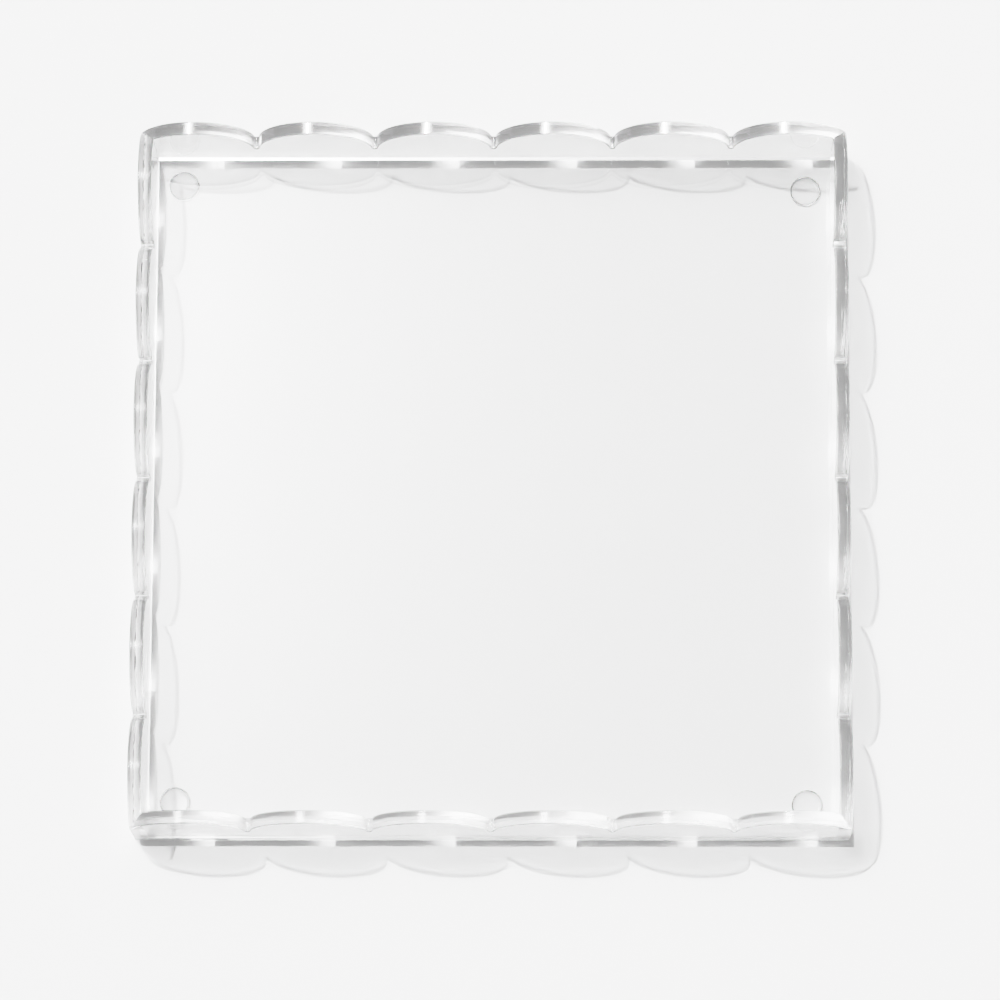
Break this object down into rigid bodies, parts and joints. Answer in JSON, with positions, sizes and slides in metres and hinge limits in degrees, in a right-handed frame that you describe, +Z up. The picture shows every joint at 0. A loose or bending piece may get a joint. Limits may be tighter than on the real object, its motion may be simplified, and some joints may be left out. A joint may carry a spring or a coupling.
{
  "type": "serving tray",
  "caption": "Square clear acrylic serving tray with scalloped upright walls, mitred corners and clear stick-on bumpers.",
  "frame": {"origin": "middle of the tray, on the plane that the bumpers stand on", "axes": "+X right, +Y back, +Z up, square to the walls"},
  "size_m": [0.305, 0.305, 0.05],
  "materials": {
    "clear_acrylic": "clear, polished faces, flame-polished edges",
    "cured_cement": "clear, with small bubbles",
    "clear_bumper": "clear moulded polyurethane",
    "clear_adhesive": "clear, thin"
  },
  "bodies": {
    "root": {"base_plate": "clear_acrylic", "wall_front": "clear_acrylic", "wall_right": "clear_acrylic", "wall_back": "clear_acrylic", "wall_left": "clear_acrylic", "bond_base_to_front_wall": "cured_cement", "bond_base_to_right_wall": "cured_cement", "bond_base_to_back_wall": "cured_cement", "bond_base_to_left_wall": "cured_cement", "bond_front_right_corner": "cured_cement", "bond_back_right_corner": "cured_cement", "bond_back_left_corner": "cured_cement", "bond_front_left_corner": "cured_cement", "foot_front_right": "clear_bumper", "foot_back_right": "clear_bumper", "foot_back_left": "clear_bumper", "foot_front_left": "clear_bumper", "foot_adhesive_front_right": "clear_adhesive", "foot_adhesive_back_right": "clear_adhesive", "foot_adhesive_back_left": "clear_adhesive", "foot_adhesive_front_left": "clear_adhesive"}
  },
  "joints": []
}
